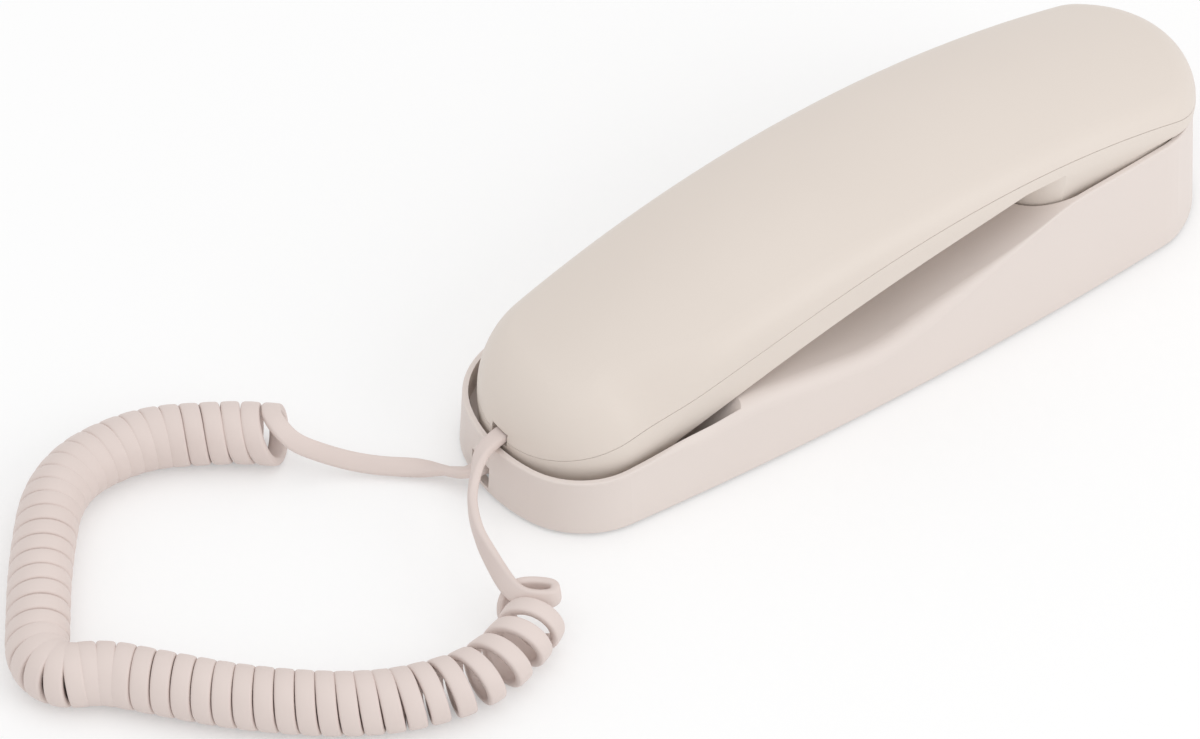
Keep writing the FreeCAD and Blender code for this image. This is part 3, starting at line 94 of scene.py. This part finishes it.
# Axis of the coil, from the base's end round to the handset's end.
COIL_ROUTE = [
    (-136.2, 39.6, COIL_LEVEL),
    (-140.4, 43.4, COIL_LEVEL),
    (-146.6, 47.9, COIL_LEVEL),
    (-163.8, 58.0, COIL_LEVEL),
    (-186.5, 57.0, COIL_LEVEL),
    (-204.0, 36.0, COIL_LEVEL),
    (-214.5, 20.5, COIL_LEVEL),
    (-220.5, 11.5, COIL_LEVEL),
    (-219.0, 4.0, COIL_LEVEL),
    (-210.0, -0.5, COIL_LEVEL),
    (-203.5, -8.5, COIL_LEVEL),
    (-187.5, -27.5, COIL_LEVEL),
    (-166.5, -45.0, COIL_LEVEL),
    (-148.0, -51.5, COIL_LEVEL),
    (-137.5, -51.5, COIL_LEVEL),
    (-129.5, -49.2, COIL_LEVEL),
    (-123.8, -46.6, COIL_LEVEL),
    (-121.3, -45.0, COIL_LEVEL),
]

# Each point of a tail is followed by the way its flat face looks there.
BASE_TAIL = [
    (BASE_EXIT, (0.0, 0.0, 1.0)),
    ((-105.0, 4.1, 5.3), (0.2, 0.3, 0.9)),
    ((-107.2, 9.6, 2.9), (0.4, 0.55, 0.7)),
    ((-113.0, 15.6, 2.6), (-0.2, -0.3, 0.9)),
    ((-119.2, 20.3, 2.9), (-0.4, -0.55, 0.7)),
    ((-124.9, 24.9, 4.2), (-0.4, -0.55, 0.7)),
    ((-131.0, 28.9, 7.6), (-0.4, -0.55, 0.7)),
    ((-135.8, 32.0, 11.2), (-0.4, -0.55, 0.7)),
]
HANDSET_TAIL = [
    ((-124.2, -37.6, 6.4), (-0.1, 0.85, -0.4)),
    ((-122.8, -36.2, 9.4), (-0.3, 0.9, -0.1)),
    ((-120.2, -36.2, 10.9), (-0.1, 0.95, 0.0)),
    ((-116.0, -38.8, 11.0), (0.6, 0.8, 0.0)),
    ((-113.1, -42.8, 11.4), (1.0, 0.1, 0.0)),
    ((-115.9, -45.4, 11.8), (0.2, -0.95, 0.2)),
    ((-120.7, -42.9, 12.4), (-0.5, -0.75, 0.45)),
    ((-122.8, -39.4, 12.9), (-0.55, -0.6, 0.6)),
    ((-122.4, -34.6, 13.0), (-0.7, -0.45, 0.55)),
    ((-121.2, -28.8, 13.1), (-0.85, -0.1, 0.4)),
    ((-119.3, -20.0, 13.9), (-0.85, 0.5, 0.1)),
    ((-115.4, -11.6, 15.2), (-0.8, 0.6, 0.05)),
    ((-109.6, -5.4, 16.8), (-0.7, 0.6, 0.35)),
    ((-103.5, -0.6, 18.4), (-0.2, 0.2, 0.95)),
    (HANDSET_EXIT, (0.0, 0.0, 1.0)),
]


def spline(route):
    """Closely spaced points in metres along a smooth curve with these control points in millimetres."""
    curve = bpy.data.curves.new("route", "CURVE")
    curve.dimensions = "3D"
    curve.resolution_u = SPLINE_STEPS
    line = curve.splines.new("NURBS")
    line.points.add(len(route) - 1)
    for point, place in zip(line.points, route):
        point.co = (place[0] * MM, place[1] * MM, place[2] * MM, 1.0)
    line.order_u = 3
    line.use_endpoint_u = True
    holder = bpy.data.objects.new("route", curve)
    bpy.context.scene.collection.objects.link(holder)
    bpy.context.view_layer.update()
    drawn = bpy.data.meshes.new_from_object(holder)
    points = np.array([vertex.co for vertex in drawn.vertices], float)
    bpy.data.objects.remove(holder)
    bpy.data.meshes.remove(drawn)
    bpy.data.curves.remove(curve)
    return points


def lengths(points):
    steps = np.linalg.norm(np.diff(points, axis=0), axis=1)
    return np.concatenate([[0.0], np.cumsum(steps)])


def even(points, step):
    """The same line with points at one spacing."""
    reach = lengths(points)
    places = np.linspace(0.0, reach[-1], int(reach[-1] / step) + 1)
    return np.stack([np.interp(places, reach, points[:, axis]) for axis in range(3)], axis=1)


def unit(rows):
    return rows / np.linalg.norm(rows, axis=-1, keepdims=True)


def headings(points):
    return unit(np.gradient(points, axis=0))


def ease(share):
    share = np.clip(share, 0.0, 1.0)
    return share * share * (3 - 2 * share)


def wound_coil():
    """Centre points of the wound ribbon and the outward way at each of them."""
    axis = even(spline(COIL_ROUTE), AXIS_STEP)
    ahead = headings(axis)
    bend = np.linalg.norm(np.gradient(ahead, axis=0), axis=1) / AXIS_STEP
    window = np.ones(2 * BEND_REACH + 1) / (2 * BEND_REACH + 1)
    bend = np.convolve(np.pad(bend, BEND_REACH, mode="edge"), window, mode="valid")
    along = np.arange(len(axis)) * AXIS_STEP
    left = along[-1] - along
    loose = ease((LOOSE_FROM - left) / LOOSE_OVER) - ease((CLOSE_FROM - left) / CLOSE_OVER) * CLOSE_SHARE
    pitch = COIL_PITCH / (1 + COIL_BEND_CLOSING * COIL_RADIUS * bend)
    pitch = pitch + (COIL_LOOSE_PITCH - pitch) * loose
    pace = 2 * math.pi / pitch * (COIL_FIRST_PACE + (1 - COIL_FIRST_PACE) * ease(along / COIL_LEAD))
    turned = np.concatenate([[0.0], np.cumsum(pace[:-1]) * AXIS_STEP])
    whole = np.round((turned[-1] + COIL_START_ANGLE - COIL_END_ANGLE) / (2 * math.pi))
    turned *= (2 * math.pi * whole + COIL_END_ANGLE - COIL_START_ANGLE) / turned[-1]
    angle = COIL_START_ANGLE + turned
    upward = np.array([0.0, 0.0, 1.0]) - ahead * ahead[:, 2:3]
    upward = unit(upward)
    side = np.cross(ahead, upward)
    outward = upward * np.cos(angle)[:, None] + side * np.sin(angle)[:, None]
    settled = np.clip((angle / (2 * math.pi) - 1) / COIL_LEAN_TURNS, 0.0, 1.0)
    lean = COIL_END_LEAN * (1 - settled) * (1 - np.cos(angle)) / 2
    return axis - ahead * lean[:, None] + outward * COIL_RADIUS, outward


def tail(points, before=None, after=None):
    """Centre points and face directions of a plain run, joined on to the coil at one end."""
    route = [place for place, face in points]
    faces = [face for place, face in points]
    if before is not None:
        place, heading, face = before
        route = [place, place + heading * COIL_JOINT_HANDSET] + route
        faces = [face, face] + faces
    if after is not None:
        place, heading, face = after
        route = route + [place - heading * COIL_JOINT_BASE, place]
        faces = faces + [face, face]
    line = even(spline(route), TAIL_STEP)
    knots = np.array([np.linalg.norm(line - np.array(place) * MM, axis=1).argmin() for place in route])
    knots = np.maximum.accumulate(knots)
    faces = np.array(faces, float)
    order = np.arange(len(line))
    turned = np.stack([np.interp(order, knots, faces[:, axis]) for axis in range(3)], axis=1)
    return line, unit(turned)


def rounded_section(width, thickness, count):
    """Outline of the flat cord: a rectangle with generously rounded sides."""
    angles = np.arange(count) * 2 * math.pi / count
    across = np.sign(np.cos(angles)) * np.abs(np.cos(angles)) ** CORD_ACROSS_POWER
    through = np.sign(np.sin(angles)) * np.abs(np.sin(angles)) ** CORD_THROUGH_POWER
    return across * width / 2, through * thickness / 2


def ribbon(name, line, faces):
    """Mesh of a flat cord that follows a line, with its flat side turned to the face directions."""
    ahead = headings(line)
    faces = unit(faces - ahead * np.sum(faces * ahead, axis=1, keepdims=True))
    across = np.cross(ahead, faces)
    count = CORD_SIDES
    wide, thick = rounded_section(CORD_WIDTH, CORD_THICKNESS, count)
    rings = line[:, None, :] + across[:, None, :] * wide[None, :, None]
    rings = rings + faces[:, None, :] * thick[None, :, None]
    quads = []
    for ring in range(len(line) - 1):
        low = ring * count
        for edge in range(count):
            following = (edge + 1) % count
            quads.append((low + edge, low + following, low + count + following, low + count + edge))
    last = (len(line) - 1) * count
    quads.append(tuple(reversed(range(count))))
    quads.append(tuple(range(last, last + count)))
    mesh = bpy.data.meshes.new(name)
    mesh.from_pydata(rings.reshape(-1, 3).tolist(), [], quads)
    mesh.update()
    mesh.shade_smooth()
    made = bpy.data.objects.new(name, mesh)
    bpy.context.scene.collection.objects.link(made)
    return made


def node(nodes, kind, **settings):
    made = nodes.new(kind)
    for key, setting in settings.items():
        setattr(made, key, setting)
    return made


FINE_GRAIN = 1800.0
FINE_GRAIN_DEPTH = 0.0001


def plastic(name, pale, dark, roughness, grain, metallic=0.0, bump=0.0, clear=0.0):
    """Moulded surface whose tint and roughness drift a little over the piece."""
    material = bpy.data.materials.new(name)
    material.use_nodes = True
    nodes = material.node_tree.nodes
    links = material.node_tree.links
    shader = nodes["Principled BSDF"]
    shader.inputs["Metallic"].default_value = metallic
    shader.inputs["Coat Weight"].default_value = clear
    places = node(nodes, "ShaderNodeTexCoord")
    drift = node(nodes, "ShaderNodeTexNoise")
    drift.inputs["Scale"].default_value = grain
    drift.inputs["Detail"].default_value = 3.0
    links.new(places.outputs["Object"], drift.inputs["Vector"])
    tint = node(nodes, "ShaderNodeValToRGB")
    tint.color_ramp.elements[0].position = 0.3
    tint.color_ramp.elements[1].position = 0.7
    tint.color_ramp.elements[0].color = (*dark, 1.0)
    tint.color_ramp.elements[1].color = (*pale, 1.0)
    links.new(drift.outputs["Fac"], tint.inputs["Fac"])
    links.new(tint.outputs["Color"], shader.inputs["Base Color"])
    gloss = node(nodes, "ShaderNodeMapRange")
    gloss.inputs["To Min"].default_value = roughness * 0.9
    gloss.inputs["To Max"].default_value = roughness * 1.1
    links.new(drift.outputs["Fac"], gloss.inputs["Value"])
    links.new(gloss.outputs["Result"], shader.inputs["Roughness"])
    if bump:
        fine = node(nodes, "ShaderNodeTexNoise")
        fine.inputs["Scale"].default_value = FINE_GRAIN
        fine.inputs["Detail"].default_value = 2.0
        links.new(places.outputs["Object"], fine.inputs["Vector"])
        raised = node(nodes, "ShaderNodeBump")
        raised.inputs["Strength"].default_value = bump
        raised.inputs["Distance"].default_value = FINE_GRAIN_DEPTH
        links.new(fine.outputs["Fac"], raised.inputs["Height"])
        links.new(raised.outputs["Normal"], shader.inputs["Normal"])
    return material


LOOKS = {
    "handset_ivory": plastic(
        "handset_ivory", (0.76, 0.682, 0.618), (0.74, 0.662, 0.598), 0.42, 14.0, bump=0.06,
    ),
    "base_ivory": plastic(
        "base_ivory", (0.778, 0.697, 0.653), (0.758, 0.677, 0.633), 0.45, 14.0, bump=0.06,
    ),
    "cord_ivory": plastic("cord_ivory", (0.75, 0.647, 0.607), (0.725, 0.622, 0.582), 0.5, 60.0, bump=0.04),
    "key_ivory": plastic("key_ivory", (0.78, 0.72, 0.64), (0.75, 0.69, 0.61), 0.4, 60.0),
    "plug_clear": plastic("plug_clear", (0.55, 0.55, 0.52), (0.48, 0.48, 0.45), 0.15, 200.0, clear=0.4),
    "jack_plastic": plastic("jack_plastic", (0.05, 0.045, 0.04), (0.035, 0.032, 0.03), 0.5, 200.0),
    "board": plastic("board", (0.03, 0.13, 0.05), (0.02, 0.09, 0.035), 0.4, 120.0, clear=0.2),
    "rubber_grey": plastic("rubber_grey", (0.10, 0.095, 0.09), (0.075, 0.07, 0.068), 0.8, 150.0),
    "screw_steel": plastic("screw_steel", (0.5, 0.5, 0.51), (0.4, 0.4, 0.41), 0.35, 400.0, metallic=1.0),
    "spring_steel": plastic(
        "spring_steel", (0.55, 0.55, 0.57), (0.45, 0.45, 0.47), 0.3, 500.0, metallic=1.0,
    ),
    "capsule_black": plastic("capsule_black", (0.02, 0.02, 0.02), (0.012, 0.012, 0.012), 0.5, 150.0),
    "capsule_metal": plastic("capsule_metal", (0.6, 0.6, 0.61), (0.5, 0.5, 0.51), 0.3, 300.0, metallic=1.0),
    "lead_vinyl": plastic("lead_vinyl", (0.4, 0.03, 0.02), (0.3, 0.02, 0.015), 0.5, 300.0),
}
PIECES = {
    "handset_ivory": ["handset_back_shell", "handset_front_shell"],
    "base_ivory": ["base_housing", "base_bottom_cover", "hook_plunger"],
    "plug_clear": ["cord_plug_base", "cord_plug_handset"],
    "jack_plastic": ["handset_jack_base", "handset_jack", "line_jack", "hook_switch"],
    "board": ["base_pcb", "keypad_pcb"],
    "rubber_grey": ["base_feet", "keypad_mat", "microphone_boot", "receiver_gasket"],
    "screw_steel": ["base_screws", "handset_screws"],
    "spring_steel": ["hook_spring"],
    "capsule_black": ["ringer", "receiver"],
    "capsule_metal": ["microphone"],
    "lead_vinyl": ["base_leads", "handset_leads"],
}


def dress(thing, look):
    thing.data.materials.clear()
    thing.data.materials.append(LOOKS[look])
    for face in thing.data.polygons:
        face.material_index = 0


for look, names in PIECES.items():
    for name in names:
        dress(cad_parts[name], look)
for name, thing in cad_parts.items():
    if name.startswith("key_"):
        dress(thing, "key_ivory")


KEY_SIGNS = {
    "key_1": "1", "key_2": "2", "key_3": "3", "key_4": "4", "key_5": "5", "key_6": "6",
    "key_7": "7", "key_8": "8", "key_9": "9", "key_star": "*", "key_0": "0", "key_hash": "#",
}
# The way in which the keys' outer faces look while the handset is in its cradle.
KEY_FACE = unit(np.array([0.224245, 0.0, -0.974533]))
KEY_FACE_DEPTH = 0.0001
SIGN_HEIGHT = 0.006
SIGN_DEPTH = 0.00006


def key_sign(key, sign):
    """Printed sign that lies on the outer face of a key, with its top towards the receiver."""
    corners = np.array([vertex.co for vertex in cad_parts[key].data.vertices], float)
    heights = corners @ KEY_FACE
    top = corners[heights > heights.max() - KEY_FACE_DEPTH]
    centre = (top.min(axis=0) + top.max(axis=0)) / 2
    centre = centre + KEY_FACE * (heights.max() - centre @ KEY_FACE)
    text = bpy.data.curves.new("sign_" + key, "FONT")
    text.body = sign
    text.size = SIGN_HEIGHT
    text.extrude = SIGN_DEPTH
    holder = bpy.data.objects.new("sign_text", text)
    bpy.context.scene.collection.objects.link(holder)
    bpy.context.view_layer.update()
    drawn = bpy.data.meshes.new_from_object(holder)
    bpy.data.objects.remove(holder)
    bpy.data.curves.remove(text)
    points = np.array([vertex.co for vertex in drawn.vertices], float)
    middle = (points.min(axis=0) + points.max(axis=0)) / 2
    facing = Vector(KEY_FACE)
    right = Vector((0.0, 1.0, 0.0))
    upward = facing.cross(right)
    turn = Matrix((right, upward, facing)).transposed().to_4x4()
    drawn.transform(Matrix.Translation(Vector(centre)) @ turn @ Matrix.Translation(-Vector(middle)))
    made = bpy.data.objects.new("sign_" + key, drawn)
    bpy.context.scene.collection.objects.link(made)
    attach(made, key)
    dress(made, "jack_plastic")


for key, sign in KEY_SIGNS.items():
    key_sign(key, sign)


def make_cord():
    coil, outward = wound_coil()
    span = lengths(coil)
    places = np.arange(0.0, span[-1], COIL_STEP)
    coil = np.stack([np.interp(places, span, coil[:, axis]) for axis in range(3)], axis=1)
    outward = unit(np.stack([np.interp(places, span, outward[:, axis]) for axis in range(3)], axis=1))
    ahead = headings(coil)
    first, first_faces = tail(BASE_TAIL, after=(coil[0] / MM, ahead[0], outward[0]))
    last, last_faces = tail(HANDSET_TAIL, before=(coil[-1] / MM, ahead[-1], outward[-1]))
    line = np.concatenate([first[:-1], coil, last[1:]])
    faces = np.concatenate([first_faces[:-1], outward, last_faces[1:]])
    made = ribbon("handset_cord", line, faces)
    reach = lengths(line)
    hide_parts("cord_tail_base", "curly_cord", "cord_tail_handset")
    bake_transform(made)
    rise = ease((reach - (reach[-1] - RISE_LENGTH)) / RISE_OVER)
    rise = np.repeat(rise, CORD_SIDES).astype(np.float32)
    dress(made, "cord_ivory")


make_cord()


PAPER_SHADE = (0.7, 0.7, 0.7, 1.0)
PAPER_GLOW = 0.29
WORLD_STRENGTH = 0.8


def paper():
    """White paper that keeps the object's shadow and looks white from the camera and in reflections."""
    material = plastic("floor_paper", (0.93, 0.93, 0.93), (0.925, 0.925, 0.925), 0.9, 3.0)
    nodes = material.node_tree.nodes
    links = material.node_tree.links
    seen = node(nodes, "ShaderNodeLightPath")
    direct = node(nodes, "ShaderNodeMath", operation="MAXIMUM")
    links.new(seen.outputs["Is Camera Ray"], direct.inputs[0])
    links.new(seen.outputs["Is Glossy Ray"], direct.inputs[1])
    clear = node(nodes, "ShaderNodeMath", operation="MAXIMUM")
    links.new(direct.outputs["Value"], clear.inputs[0])
    links.new(seen.outputs["Is Transmission Ray"], clear.inputs[1])
    shade = node(nodes, "ShaderNodeBsdfDiffuse")
    shade.inputs["Color"].default_value = PAPER_SHADE
    glow = node(nodes, "ShaderNodeEmission")
    glow.inputs["Strength"].default_value = PAPER_GLOW
    pale = node(nodes, "ShaderNodeAddShader")
    links.new(shade.outputs["BSDF"], pale.inputs[0])
    links.new(glow.outputs["Emission"], pale.inputs[1])
    chosen = node(nodes, "ShaderNodeMixShader")
    links.new(clear.outputs["Value"], chosen.inputs[0])
    links.new(nodes["Principled BSDF"].outputs["BSDF"], chosen.inputs[1])
    links.new(pale.outputs["Shader"], chosen.inputs[2])
    links.new(chosen.outputs["Shader"], nodes["Material Output"].inputs["Surface"])
    return material


def floor():
    bpy.ops.mesh.primitive_plane_add(size=6.0, location=(0.0, 0.0, 0.0))
    made = bpy.context.object
    made.name = "floor"
    made.data.materials.append(paper())


def area_light(name, place, target, size, power):
    lamp = bpy.data.lights.new(name, "AREA")
    lamp.size = size
    lamp.energy = power
    held = bpy.data.objects.new(name, lamp)
    held.location = place
    held.rotation_euler = (Vector(target) - Vector(place)).to_track_quat("-Z", "Y").to_euler()
    bpy.context.scene.collection.objects.link(held)


floor()
area_light("sky_panel", (-0.1, -0.2, 2.2), (0.0, 0.0, 0.0), 2.4, 9.0)
area_light("front_panel", (0.9, -2.0, 1.2), (0.0, 0.0, 0.0), 1.6, 11.0)
world = bpy.data.worlds.new("studio")
world.use_nodes = True
world.node_tree.nodes["Background"].inputs["Color"].default_value = (1.0, 1.0, 1.0, 1.0)
world.node_tree.nodes["Background"].inputs["Strength"].default_value = WORLD_STRENGTH
bpy.context.scene.world = world


def camera():
    """Long lens looking down at 45 degrees on the cord's corner of the phone."""
    raised = math.radians(45.0)
    turned = math.radians(35.9)
    distance = 1.6759
    aim_right = -0.05676
    aim_depth = -0.01841
    right = Vector((math.cos(turned), -math.sin(turned), 0.0))
    depth = Vector((math.sin(turned), math.cos(turned), 0.0))
    foot = right * aim_right + depth * aim_depth
    forward = depth * math.cos(raised) - Vector((0.0, 0.0, math.sin(raised)))
    upward = depth * math.sin(raised) + Vector((0.0, 0.0, math.cos(raised)))
    lens = bpy.data.cameras.new("camera")
    lens.sensor_width = 36.0
    lens.lens = 210.0
    lens.clip_end = 20.0
    made = bpy.data.objects.new("camera", lens)
    turn = Matrix((right, upward, -forward)).transposed().to_4x4()
    made.matrix_world = Matrix.Translation(foot - forward * distance) @ turn
    bpy.context.scene.collection.objects.link(made)
    bpy.context.scene.camera = made


camera()
bpy.context.scene.view_settings.view_transform = "Standard"
